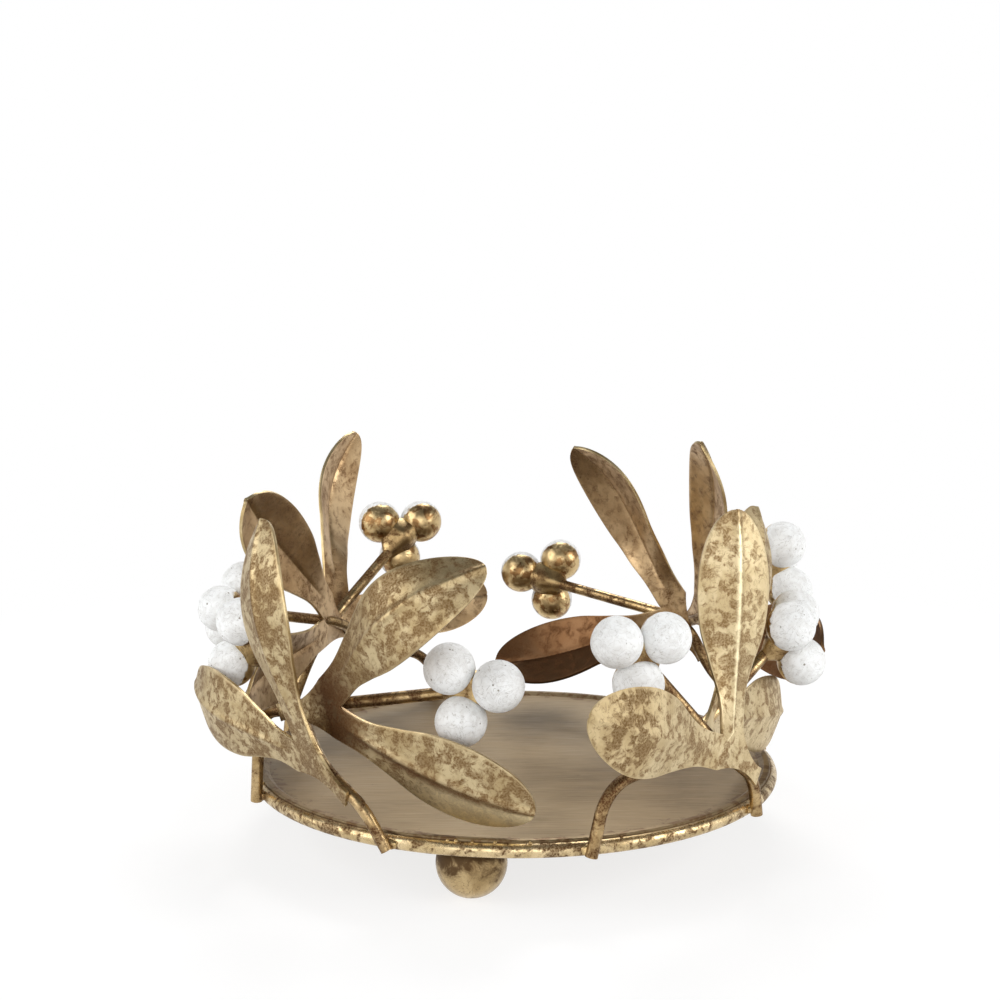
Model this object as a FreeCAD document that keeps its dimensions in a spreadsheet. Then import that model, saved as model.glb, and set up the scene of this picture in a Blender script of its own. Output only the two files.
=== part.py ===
import FreeCAD, Part
import math
import os
import re

import Sketcher

Vector = FreeCAD.Vector

# Sizes in millimetres
SIZES = {
    "ring_diameter": 130.0,
    "hoop_wire": 3.3,
    "solder_seat": 0.25,
    "plate_thickness": 0.85,
    "lip_rise": 0.8,
    "lip_width": 1.5,
    "lip_slope": 1.2,
    "edge_round": 0.3,
    "foot_ball": 16.0,
    "foot_inset": 13.5,
    "stem_wire": 2.8,
    "stem_drop": 1.2,
    "spray_height": 50.0,
    "leaf_length": 55.0,
    "leaf_width": 19.0,
    "leaf_neck": 8.0,
    "leaf_thickness": 0.8,
    "leaf_fold": 2.2,
    "tab_length": 12.0,
    "tab_end": 4.2,
    "berry_diameter": 11.6,
    "berry_gap": 0.1,
    "berry_setback": 3.6,
    "hub_diameter": 6.6,
}

# Heights are measured from the plate's top face, where the origin lies
HOOP_LEVEL = "lip_rise - plate_thickness - hoop_wire / 2 + solder_seat"
HOOP_REACH = "ring_diameter / 2 - hoop_wire / 2"

FOOT_AZIMUTHS = (-11.0, 109.0, 229.0)


class Place:
    """A spot round the ring: azimuth in degrees from the front, + to the right, and two shares."""

    def __init__(self, azimuth, reach_share, height_share):
        self.azimuth = azimuth
        self.reach_share = reach_share
        self.height_share = height_share


class Leaf:
    """Lie of one leaf: heading, climb and turn in degrees, bow and curl as shares of its length."""

    def __init__(self, heading, climb, turn=0.0, bow_share=0.06, curl_share=0.0):
        self.heading = heading
        self.climb = climb
        self.turn = turn
        self.bow_share = bow_share
        self.curl_share = curl_share


class Cluster:
    """Three berries: the place of their middle, and the way they face and are turned, in degrees."""

    def __init__(self, middle, heading, climb, turn):
        self.middle = middle
        self.heading = heading
        self.climb = climb
        self.turn = turn


class HalfSpray:
    """One stem wire from its azimuth on the hoop to its berries: bends before its fork and after it.

    A leaf pair, with its upper and its lower leaf, sits at the fork.
    """

    def __init__(self, stem, bends, fork, late_bends, cluster, up, low):
        self.stem = stem
        self.bends = bends
        self.fork = fork
        self.late_bends = late_bends
        self.cluster = cluster
        self.up = up
        self.low = low


# Round the ring from the front left, to the right. Two neighbours lean across each other
HALF_SPRAYS = (
    HalfSpray(-67, [Place(-65.5, 1.04, 0.24), Place(-62, 1.04, 0.40)], Place(-46, 0.98, 0.49), [],
              Cluster(Place(-11, 0.84, 0.61), -17, 6, 15),
              Leaf(47, 42, -17, 0.14, 0.23), Leaf(56, -20.5, 5, -0.01, 0.20)),
    HalfSpray(-25, [Place(-29, 1.04, 0.14)], Place(-42, 1.05, 0.26), [Place(-58, 0.93, 0.43)],
              Cluster(Place(-79, 1.04, 0.67), -119, 20, 52),
              Leaf(-108, 67, 3, 0.04, 0.23), Leaf(-139, 8, 6, 0.07, 0.07)),
    HalfSpray(14, [Place(17, 1.04, 0.25), Place(36, 0.96, 0.31)], Place(54, 0.89, 0.37), [],
              Cluster(Place(74, 1.09, 0.72), 75, 12, 33),
              Leaf(152, 56, -14, 0.07, 0.04), Leaf(155, -10.7, 2, 0.06, -0.01)),
    HalfSpray(57, [Place(56, 1.04, 0.13)], Place(47, 1.04, 0.28), [],
              Cluster(Place(28, 0.91, 0.77), 21, -7, 30),
              Leaf(172, 82, -20, 0.03, 0), Leaf(-44, 21, -9, 0.10, -0.05)),
    HalfSpray(104, [Place(105, 1.04, 0.12), Place(119, 0.94, 0.26)], Place(128.5, 0.94, 0.55), [],
              Cluster(Place(172, 1.04, 0.67), 176, 1, 12),
              Leaf(-102, 54, -41, 0.10, -0.04), Leaf(-102, -15, 43, 0.07, -0.03)),
    HalfSpray(151, [Place(150, 1.04, 0.28), Place(143, 1.05, 0.42)], Place(129, 1.05, 0.53), [],
              Cluster(Place(97, 1.07, 0.95), 97, 10, 0),
              Leaf(-7, 67, -4, 0.07, 0.03), Leaf(24, 3.3, -31, 0.10, -0.02)),
    HalfSpray(-162, [Place(-159, 1.04, 0.22), Place(-142, 0.96, 0.38)], Place(-128.5, 0.96, 0.53), [],
              Cluster(Place(-98, 1.14, 0.73), -105, 20, 7),
              Leaf(-19, 42, -18, 0.09, -0.13), Leaf(-20, -10, -9, 0.06, 0.02)),
    HalfSpray(-115, [Place(-116, 1.04, 0.10), Place(-121, 1.03, 0.36)], Place(-133.5, 1.05, 0.55), [],
              Cluster(Place(-152, 1.06, 0.94), -167, 2, 31),
              Leaf(188, 52, 30, 0.06, 0.18), Leaf(134, -3, 22, 0.05, 0.04)),
)

# Half width of a leaf from its fork to its widest place: share of the length, share of the growth
GROWTH_SHARES = ((0.0, 0.0), (0.16, 0.04), (0.32, 0.42), (0.47, 0.84))
WIDEST_SHARE = 0.64
# From the widest place on, the outline is a quarter of an ellipse, cut just short of its tip
TIP_ANGLES = (0.0, 25.0, 48.0, 68.0, 83.0)
# How far the sides of a tab are drawn in, as a share of their length
TAB_SAG_SHARE = 0.12
# Share of a leaf's length over which it turns and folds into its full form
TURN_SHARE = 0.45
FOLD_SHARE = 0.3
# Scale of the bow curve that is level at the fork, one share high at its top and back at the tip
BOW_SCALE = 6.75
# Share of the shorter run that the arc at a bend takes
BEND_SHARE = 0.42

doc = FreeCAD.newDocument("candle_plate")
sheet = doc.addObject("Spreadsheet::Sheet", "Sizes")
for row, (alias, value) in enumerate(SIZES.items(), start=1):
    sheet.set("A%d" % row, alias)
    sheet.set("B%d" % row, str(value))
    sheet.setAlias("B%d" % row, alias)
doc.recompute()


def size(expression):
    """Value of an expression of sheet sizes, in millimetres."""
    value = sheet.evalExpression(expression)
    return float(getattr(value, "Value", value))


def bound(expression):
    """Expression with each alias written as a cell of the sheet."""
    return re.sub(r"[a-z_]+", lambda word: "Sizes." + word.group(0), expression)


def make(kind, name, **expressions):
    """Document object whose properties are bound to expressions of sheet sizes."""
    thing = doc.addObject(kind, name)
    for key, expression in expressions.items():
        thing.setExpression(key, bound(expression))
    return thing


def held(name, shape):
    """Part::Feature that holds a computed wire."""
    thing = doc.addObject("Part::Feature", name)
    thing.Shape = shape
    return thing


def fuse(name, shapes):
    """Fusion of several objects."""
    thing = doc.addObject("Part::MultiFuse", name)
    thing.Shapes = shapes
    return thing


def cut(name, base, tools):
    """Base with its neighbours cut away, so that it seats against them."""
    thing = doc.addObject("Part::Cut", name)
    thing.Base = base
    thing.Tool = tools[0]
    if len(tools) > 1:
        tool = doc.addObject("Part::Compound", name + "_tool")
        tool.Links = tools
        thing.Tool = tool
    return thing


def place(azimuth, reach, height):
    """Point at an azimuth from the front, a reach from the axis and a height."""
    angle = math.radians(azimuth)
    return Vector(reach * math.sin(angle), -reach * math.cos(angle), height)


def spot(where):
    """Point of a Place."""
    reach = size(HOOP_REACH) * where.reach_share
    return place(where.azimuth, reach, size("spray_height") * where.height_share)


def aim(heading, climb):
    """Unit vector with a heading in plan and a climb from the level."""
    angle = math.radians(climb)
    return place(heading, math.cos(angle), math.sin(angle))


def across(vector, axis):
    """Unit part of a vector square to an axis."""
    flat = vector - axis * vector.dot(axis)
    return flat.normalize()


def turned(vector, axis, degrees):
    """Vector turned about an axis by the right-hand rule."""
    return FreeCAD.Rotation(axis, degrees).multVec(vector)


def smooth(share):
    """Smooth step from 0 to 1."""
    part = min(max(share, 0.0), 1.0)
    return part * part * (3 - 2 * part)


def bent_path(points):
    """Wire of straight runs joined by tangent arcs."""
    edges = []
    start = points[0]
    for before, corner, after in zip(points, points[1:], points[2:]):
        incoming = (corner - before).normalize()
        outgoing = (after - corner).normalize()
        trim = BEND_SHARE * min((corner - before).Length, (after - corner).Length)
        half_turn = incoming.getAngle(outgoing) / 2
        inward = (outgoing - incoming).normalize()
        enter = corner - incoming * trim
        leave = corner + outgoing * trim
        middle = corner + inward * trim * (1 - math.cos(half_turn)) / math.sin(half_turn)
        edges.append(Part.LineSegment(start, enter).toShape())
        edges.append(Part.Arc(enter, middle, leave).toShape())
        start = leave
    edges.append(Part.LineSegment(start, points[-1]).toShape())
    return Part.Wire(edges)


def profile(body, name, corners):
    """Closed sketch on the body's XZ plane, each corner tied to expressions of sheet sizes."""
    sketch = body.newObject("Sketcher::SketchObject", name)
    plane = [part for part in body.Origin.OriginFeatures if part.Role == "XZ_Plane"][0]
    sketch.AttachmentSupport = [(plane, "")]
    sketch.MapMode = "FlatFace"
    points = [Vector(size(across_text), size(up_text), 0) for across_text, up_text in corners]
    count = len(points)
    for index in range(count):
        sketch.addGeometry(Part.LineSegment(points[index], points[(index + 1) % count]), False)
    for index in range(count):
        sketch.addConstraint(Sketcher.Constraint("Coincident", index, 2, (index + 1) % count, 1))
    for index, (across_text, up_text) in enumerate(corners):
        for kind, text, value in (("DistanceX", across_text, points[index].x),
                                  ("DistanceY", up_text, points[index].y)):
            number = sketch.addConstraint(Sketcher.Constraint(kind, -1, 1, index, 1, value))
            sketch.setExpression("Constraints[%d]" % number, bound(text))
    return sketch


def make_hoop():
    """Wire hoop under the plate's lip."""
    hoop = make("Part::Torus", "rim_hoop", Radius1=HOOP_REACH, Radius2="hoop_wire / 2")
    hoop.setExpression("Placement.Base.z", bound(HOOP_LEVEL))
    return hoop


def make_plate(hoop):
    """Pressed disc: flat floor, stepped lip that lies on the hoop."""
    body = doc.addObject("PartDesign::Body", "plate_blank")
    floor_reach = HOOP_REACH + " - lip_width - lip_slope"
    lip_reach = HOOP_REACH + " - lip_width"
    lip_under = "lip_rise - plate_thickness"
    corners = (
        ("0", "0"),
        (floor_reach, "0"),
        (lip_reach, "lip_rise"),
        (HOOP_REACH, "lip_rise"),
        (HOOP_REACH, lip_under),
        (lip_reach, lip_under),
        (floor_reach, "0 - plate_thickness"),
        ("0", "0 - plate_thickness"),
    )
    sketch = profile(body, "plate_profile", corners)
    turn = body.newObject("PartDesign::Revolution", "plate_turn")
    turn.Profile = sketch
    turn.ReferenceAxis = (sketch, ["V_Axis"])
    turn.Angle = 360
    doc.recompute()
    edges = []
    for number, edge in enumerate(turn.Shape.Edges, start=1):
        if hasattr(edge.Curve, "Radius") and abs(edge.Curve.Radius - size(HOOP_REACH)) < 1e-6:
            edges.append("Edge%d" % number)
    rounding = body.newObject("PartDesign::Fillet", "plate_edge")
    rounding.Base = (turn, edges)
    rounding.setExpression("Radius", bound("edge_round"))
    body.Tip = rounding
    return cut("plate_disc", body, [hoop])


def make_feet(plate):
    """Balls soldered under the plate, each with a small flat."""
    feet = []
    for number, azimuth in enumerate(FOOT_AZIMUTHS, start=1):
        ball = make("Part::Sphere", "foot_sphere_%d" % number, Radius="foot_ball / 2")
        level = size("solder_seat - plate_thickness - foot_ball / 2")
        ball.Placement.Base = place(azimuth, size("ring_diameter / 2 - foot_inset"), level)
        feet.append(cut("foot_ball_%d" % number, ball, [plate]))
    return feet


def make_berries(number, cluster):
    """Three balls round the cluster's middle, in the plane that the cluster faces out of."""
    facing = aim(cluster.heading, cluster.climb)
    right = facing.cross(Vector(0, 0, 1)).normalize() * -1
    middle = spot(cluster.middle)
    reach = size("(berry_diameter + berry_gap) / 2") / math.sin(math.radians(60))
    berries = []
    for index in range(3):
        berry = make("Part::Sphere", "berry_%d_%d" % (number, index + 1), Radius="berry_diameter / 2")
        berry.Placement.Base = middle + turned(right, facing, cluster.turn + 120 * index) * reach
        berries.append(berry)
    return berries


def make_stem(number, half, bends, fork_back):
    """Round wire from the hoop past the fork, with the solder blob that holds its berries."""
    foot_level = size(HOOP_LEVEL + " - stem_drop")
    foot_reach = size("ring_diameter / 2 + stem_wire / 2 - solder_seat")
    cluster = half.cluster
    hub_centre = spot(cluster.middle) - aim(cluster.heading, cluster.climb) * size("berry_setback")
    foot = place(half.stem, foot_reach, foot_level)
    late_bends = [spot(where) for where in half.late_bends]
    points = [foot] + bends + [fork_back] + late_bends + [hub_centre]
    path = bent_path(points)
    spine = held("stem_path_%d" % number, path)
    section = make("Part::Circle", "stem_section_%d" % number, Radius="stem_wire / 2")
    turn = FreeCAD.Rotation(Vector(0, 0, 1), points[1] - points[0])
    section.Placement = FreeCAD.Placement(points[0], turn)
    sweep = doc.addObject("Part::Sweep", "stem_sweep_%d" % number)
    sweep.Sections = [section]
    sweep.Spine = (spine, [])
    sweep.Solid = True
    hub = make("Part::Sphere", "stem_hub_%d" % number, Radius="hub_diameter / 2")
    hub.Placement.Base = hub_centre
    return fuse("stem_body_%d" % number, [sweep, hub])


def chevron(centre, side, normal, half_width, fold):
    """Closed outline across a leaf: two flat halves that meet at the raised vein."""
    lift = normal * size("leaf_thickness / 2")
    drop = normal * fold
    left = centre - side * half_width - drop
    right = centre + side * half_width - drop
    corners = [left + lift, centre + lift, right + lift, right - lift, centre - lift, left - lift]
    return Part.makePolygon(corners + corners[:1])


def loft(name, wires):
    """Solid through a row of closed outlines."""
    sections = [held("%s_section_%d" % (name, index), wire) for index, wire in enumerate(wires, start=1)]
    thing = doc.addObject("Part::Loft", name)
    thing.Sections = sections
    thing.Solid = True
    thing.Ruled = False
    return thing


def leaf_stations():
    """Places along a leaf: share of its length, share of its growth from neck to full width."""
    stations = list(GROWTH_SHARES)
    neck_share = size("leaf_neck / leaf_width")
    for angle in TIP_ANGLES:
        along_share = WIDEST_SHARE + (1 - WIDEST_SHARE) * math.sin(math.radians(angle))
        growth_share = (math.cos(math.radians(angle)) - neck_share) / (1 - neck_share)
        stations.append((along_share, growth_share))
    return stations


def make_leaf(name, leaf, fork, facing, neck_reach):
    """One spoon-shaped leaf, folded along its vein, bowed and turned out of the fork's plane."""
    axis = aim(leaf.heading, leaf.climb)
    bow_normal = turned(facing, axis, leaf.turn)
    root = fork + axis * neck_reach
    length = size("leaf_length") - neck_reach
    wires = []
    for along_share, growth_share in leaf_stations():
        lift_share = leaf.bow_share * BOW_SCALE * along_share ** 2 * (1 - along_share)
        lift_share -= leaf.curl_share * along_share ** 3
        slope = leaf.bow_share * BOW_SCALE * (2 * along_share - 3 * along_share ** 2)
        slope -= leaf.curl_share * 3 * along_share ** 2
        centre = root + (axis * along_share + bow_normal * lift_share) * length
        tangent = (axis + bow_normal * slope).normalize()
        turn = leaf.turn * smooth(along_share / TURN_SHARE)
        normal = across(turned(facing, axis, turn), tangent)
        half_width = size("leaf_neck / 2") + size("(leaf_width - leaf_neck) / 2") * growth_share
        width_share = half_width / size("leaf_width / 2")
        fold = size("leaf_fold") * width_share * smooth(along_share / FOLD_SHARE)
        wires.append(chevron(centre, tangent.cross(normal), normal, half_width, fold))
    return loft(name, wires)


def hollow_arc(start, end, inward):
    """Arc between two corners that is drawn in towards the middle of the sheet."""
    middle = (start + end) / 2 + inward * (end - start).Length * TAB_SAG_SHARE
    return Part.Arc(start, middle, end).toShape()


def make_fork(name, fork, facing, up_axis, low_axis, tab_axis, neck_reach):
    """Flat middle of a leaf pair: two necks with the notch between them, and the tab."""
    half_neck = size("leaf_neck / 2")
    half_tab = size("tab_end / 2")
    up_side = across(up_axis - low_axis, up_axis)
    low_side = across(low_axis - up_axis, low_axis)
    tab_side = across(up_axis - low_axis, tab_axis)
    notch = fork + up_axis * neck_reach - up_side * half_neck
    up_corner = fork + up_axis * neck_reach + up_side * half_neck
    low_corner = fork + low_axis * neck_reach + low_side * half_neck
    tab_foot = fork + tab_axis * size("tab_length")
    tab_up = tab_foot + tab_side * half_tab
    tab_low = tab_foot - tab_side * half_tab
    outline = Part.Wire([
        Part.LineSegment(notch, up_corner).toShape(),
        hollow_arc(up_corner, tab_up, tab_side * -1),
        Part.LineSegment(tab_up, tab_low).toShape(),
        hollow_arc(tab_low, low_corner, tab_side),
        Part.LineSegment(low_corner, notch).toShape(),
    ])
    plate = make("Part::Extrusion", name, LengthFwd="leaf_thickness")
    plate.Base = held(name + "_outline", outline)
    plate.DirMode = "Custom"
    plate.Dir = facing
    plate.Solid = True
    plate.Symmetric = True
    return plate


def make_half_spray(number, half, hoop):
    """One stem wire with its berries and leaf pair."""
    fork = spot(half.fork)
    up_axis = aim(half.up.heading, half.up.climb)
    low_axis = aim(half.low.heading, half.low.climb)
    facing = low_axis.cross(up_axis).normalize()
    if facing.dot(aim(half.fork.azimuth, 0)) < 0:
        facing = facing * -1
    fork_back = fork - facing * size("(stem_wire + leaf_thickness) / 2 - solder_seat")
    # The wire's last bend lies in the leaf pair's plane, so that the tab lies flat along the wire
    bends = [spot(where) for where in half.bends]
    shift = (bends[-1] - fork_back).dot(facing)
    bends[-1] = bends[-1] - facing * shift
    tab_axis = (bends[-1] - fork_back).normalize()
    neck_reach = size("leaf_neck / 2") / math.tan(up_axis.getAngle(low_axis) / 2)
    berries = make_berries(number, half.cluster)
    stem = make_stem(number, half, bends, fork_back)
    up_leaf = make_leaf("leaf_up_%d" % number, half.up, fork, facing, neck_reach)
    low_leaf = make_leaf("leaf_low_%d" % number, half.low, fork, facing, neck_reach)
    plate = make_fork("leaf_fork_%d" % number, fork, facing, up_axis, low_axis, tab_axis, neck_reach)
    blank = fuse("leaf_blank_%d" % number, [plate, up_leaf, low_leaf])
    pair = cut("leaf_pair_%d" % number, blank, [stem])
    wire = cut("stem_wire_%d" % number, stem, berries + [hoop])
    return [wire, pair] + berries


def check_document():
    """Stops if any object failed."""
    failed = [thing.Name for thing in doc.Objects if "Invalid" in thing.State or "Error" in thing.State]
    if failed:
        raise RuntimeError("failed: " + ", ".join(failed))


def write_parts(nodes):
    """Checks each sub-part and writes its shape."""
    os.makedirs("parts", exist_ok=True)
    for node in nodes:
        shape = node.Shape
        if shape.isNull() or not shape.isValid() or len(shape.Solids) != 1:
            raise RuntimeError("%s is not one valid solid" % node.Label)
        shape.exportStep("parts/%s.step" % node.Label)


def main():
    hoop = make_hoop()
    plate = make_plate(hoop)
    nodes = [hoop, plate] + make_feet(plate)
    for number, half in enumerate(HALF_SPRAYS, start=1):
        nodes += make_half_spray(number, half, hoop)
    doc.recompute()
    check_document()
    write_parts(nodes)


main()
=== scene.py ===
"""Candle plate ringed by mistletoe sprays, in antique gold with chalky white berries."""

import logging
import math
from dataclasses import asdict, astuple, dataclass
from enum import Enum

import bmesh
import bpy
from mathutils import Matrix, Vector, noise

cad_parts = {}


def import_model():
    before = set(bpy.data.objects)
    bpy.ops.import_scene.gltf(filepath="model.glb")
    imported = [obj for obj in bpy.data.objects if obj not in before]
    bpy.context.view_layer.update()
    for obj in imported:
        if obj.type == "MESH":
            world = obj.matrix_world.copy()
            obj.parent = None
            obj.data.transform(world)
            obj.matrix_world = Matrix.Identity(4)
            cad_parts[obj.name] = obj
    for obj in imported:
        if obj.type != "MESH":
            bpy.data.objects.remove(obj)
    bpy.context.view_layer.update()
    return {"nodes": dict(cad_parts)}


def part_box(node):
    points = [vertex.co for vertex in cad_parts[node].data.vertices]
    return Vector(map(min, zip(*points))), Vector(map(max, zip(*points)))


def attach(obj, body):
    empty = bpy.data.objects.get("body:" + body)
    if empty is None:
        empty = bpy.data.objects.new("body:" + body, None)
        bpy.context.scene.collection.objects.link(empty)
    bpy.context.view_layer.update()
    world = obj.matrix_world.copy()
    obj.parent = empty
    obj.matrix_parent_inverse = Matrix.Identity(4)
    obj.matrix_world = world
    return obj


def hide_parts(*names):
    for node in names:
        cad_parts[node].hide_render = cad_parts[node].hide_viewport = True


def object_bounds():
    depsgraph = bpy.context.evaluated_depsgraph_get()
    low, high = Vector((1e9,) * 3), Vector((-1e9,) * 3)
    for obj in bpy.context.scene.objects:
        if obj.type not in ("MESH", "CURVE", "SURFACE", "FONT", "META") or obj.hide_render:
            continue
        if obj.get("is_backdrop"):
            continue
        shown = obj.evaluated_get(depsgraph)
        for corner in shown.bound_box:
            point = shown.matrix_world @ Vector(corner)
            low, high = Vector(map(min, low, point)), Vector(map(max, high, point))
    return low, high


LOG = logging.getLogger("candle_plate")

# A linear colour, a size or a place
Triple = tuple[float, float, float]
Socket = bpy.types.NodeSocket
Material = bpy.types.Material
BMesh = bmesh.types.BMesh
BMVert = bmesh.types.BMVert

# Sockets of a Mix node that take and give colours
MIXED_COLOURS = (6, 7)
MIX_RESULT = 2
# Numbers that a leaf's mesh keeps at each vertex, for its finish, its painted highlights and its
# painted shade
LEAF_LAYERS = ("along", "across", "wear", "browned")
# Vertices nearer than this are one vertex, in metres
WELD = 1e-6
# Vertices this far off a line still stand on it, in metres
NEAR = 1e-5
# Edges between faces that meet at a larger angle stay sharp
SHARP_ANGLE = math.radians(32)


class Slot(Enum):
    """Names of the material slots."""

    GOLD = "antique_gold"
    WHITE = "berry_white"


class PaintedLightAndWear(Enum):
    """Where a leaf gets a painted highlight, painted sheen or painted fold shade, is dulled or is
    browned.
    """

    NONE = "none"
    # Painted highlight along the vein and painted sheen on one half of the leaf
    BARE_VEIN = "bare_vein"
    # Painted sheen on the lower half, painted shade along the fold and a browned neck
    BARE_LOWER_HALF = "bare_lower_half"
    DULL_TIP = "dull_tip"
    BROWNED = "browned"
    BROWNED_NECK = "browned_neck"


# Lies of the sprays


@dataclass(frozen=True)
class Place:
    """Spot round the ring: azimuth in degrees from the front, shares of reach and height."""

    azimuth: float
    reach_share: float
    height_share: float


@dataclass(frozen=True)
class LeafLie:
    """Lie of one leaf: heading, climb and turn in degrees, bow and curl as shares of its length."""

    heading: float
    climb: float
    turn: float
    bow_share: float
    curl_share: float
    # Painted highlight, sheen or shade, dulling or browning of the leaf
    wear: PaintedLightAndWear = PaintedLightAndWear.NONE


@dataclass(frozen=True)
class ClusterLie:
    """Middle of three berries, the way they face and the way their paint faces, in degrees."""

    middle: Place
    heading: float
    climb: float
    paint: float


@dataclass(frozen=True)
class HalfSpray:
    """One wire: its azimuth on the hoop, last bend, fork, way to its berries, and two leaves."""

    stem: float
    bend: Place
    fork: Place
    last: Place
    cluster: ClusterLie
    up: LeafLie
    low: LeafLie


# The first pair's low leaf gets painted sheen and painted fold shade, and the fourth pair's upper
# leaf a painted vein highlight
HALF_SPRAYS = (
    HalfSpray(-67, Place(-62, 1.04, 0.40), Place(-46, 0.98, 0.49), Place(-46, 0.98, 0.49),
              ClusterLie(Place(-11, 0.84, 0.61), -17, 6, -17),
              LeafLie(47, 42, -17, 0.14, 0.23, PaintedLightAndWear.BROWNED_NECK),
              LeafLie(56, -20.5, 5, -0.01, 0.20, PaintedLightAndWear.BARE_LOWER_HALF)),
    HalfSpray(-25, Place(-29, 1.04, 0.14), Place(-42, 1.05, 0.26), Place(-58, 0.93, 0.43),
              ClusterLie(Place(-79, 1.04, 0.67), -119, 20, -65),
              LeafLie(-108, 67, 3, 0.04, 0.23), LeafLie(-139, 8, 6, 0.07, 0.07)),
    HalfSpray(14, Place(36, 0.96, 0.31), Place(54, 0.89, 0.37), Place(54, 0.89, 0.37),
              ClusterLie(Place(74, 1.09, 0.72), 75, 12, 45),
              LeafLie(152, 56, -14, 0.07, 0.04), LeafLie(155, -10.7, 2, 0.06, -0.01)),
    HalfSpray(57, Place(56, 1.04, 0.13), Place(47, 1.04, 0.28), Place(47, 1.04, 0.28),
              ClusterLie(Place(28, 0.91, 0.77), 21, -7, 21),
              LeafLie(172, 82, -20, 0.03, 0, PaintedLightAndWear.BARE_VEIN),
              LeafLie(-44, 21, -9, 0.10, -0.05, PaintedLightAndWear.DULL_TIP)),
    HalfSpray(104, Place(119, 0.94, 0.26), Place(128.5, 0.94, 0.55), Place(128.5, 0.94, 0.55),
              ClusterLie(Place(172, 1.04, 0.67), 176, 1, 176),
              LeafLie(-102, 54, -41, 0.10, -0.04),
              LeafLie(-102, -15, 43, 0.07, -0.03, PaintedLightAndWear.BROWNED)),
    HalfSpray(151, Place(143, 1.05, 0.42), Place(129, 1.05, 0.53), Place(129, 1.05, 0.53),
              ClusterLie(Place(97, 1.07, 0.95), 97, 10, 55),
              LeafLie(-7, 67, -4, 0.07, 0.03), LeafLie(24, 3.3, -31, 0.10, -0.02, PaintedLightAndWear.BROWNED)),
    HalfSpray(-162, Place(-142, 0.96, 0.38), Place(-128.5, 0.96, 0.53), Place(-128.5, 0.96, 0.53),
              ClusterLie(Place(-98, 1.14, 0.73), -105, 20, -85),
              LeafLie(-19, 42, -18, 0.09, -0.13), LeafLie(-20, -10, -9, 0.06, 0.02)),
    HalfSpray(-115, Place(-121, 1.03, 0.36), Place(-133.5, 1.05, 0.55), Place(-133.5, 1.05, 0.55),
              ClusterLie(Place(-152, 1.06, 0.94), -167, 2, -167),
              LeafLie(188, 52, 30, 0.06, 0.18), LeafLie(134, -3, 22, 0.05, 0.04)),
)


def around(azimuth: float, reach: float, height: float) -> Vector:
    """Point at an azimuth in degrees from the front, a reach from the axis and a height."""
    angle = math.radians(azimuth)
    return Vector((reach * math.sin(angle), -reach * math.cos(angle), height))


def aim(heading: float, climb: float) -> Vector:
    """Unit vector with a heading in plan and a climb from the level, both in degrees."""
    angle = math.radians(climb)
    return around(heading, math.cos(angle), math.sin(angle))


def square_to(vector: Vector, axis: Vector) -> Vector:
    """Unit part of a vector square to an axis."""
    return (vector - axis * vector.dot(axis)).normalized()


def smooth(share: float) -> float:
    """Smooth step from 0 to 1."""
    part = min(max(share, 0.0), 1.0)
    return part * part * (3 - 2 * part)


@dataclass
class Ring:
    """Sizes that the sprays share, read from the frame where it holds them."""

    spray_height: float = 0.050
    stem_wire: float = 0.0028
    solder_seat: float = 0.00025

    def __post_init__(self) -> None:
        """Measures the hoop."""
        low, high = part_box("rim_hoop")
        self.hoop_wire: float = high.z - low.z
        self.hoop_level: float = (high.z + low.z) / 2
        self.hoop_outside: float = (high.x - low.x) / 2
        self.hoop_reach: float = self.hoop_outside - self.hoop_wire / 2

    def spot(self, where: Place) -> Vector:
        """Point of a Place."""
        return around(where.azimuth, self.hoop_reach * where.reach_share,
                      self.spray_height * where.height_share)


# Materials


@dataclass(frozen=True)
class Grain:
    """Noise: features per metre, finer layers, their strength, and how far it is pulled about."""

    scale: float
    detail: float = 2.0
    roughness: float = 0.5
    distortion: float = 0.0


@dataclass(frozen=True)
class Step:
    """Smooth step of a value between low and high, and its results below and above them."""

    low: float
    high: float
    start: float = 0.0
    end: float = 1.0


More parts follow.
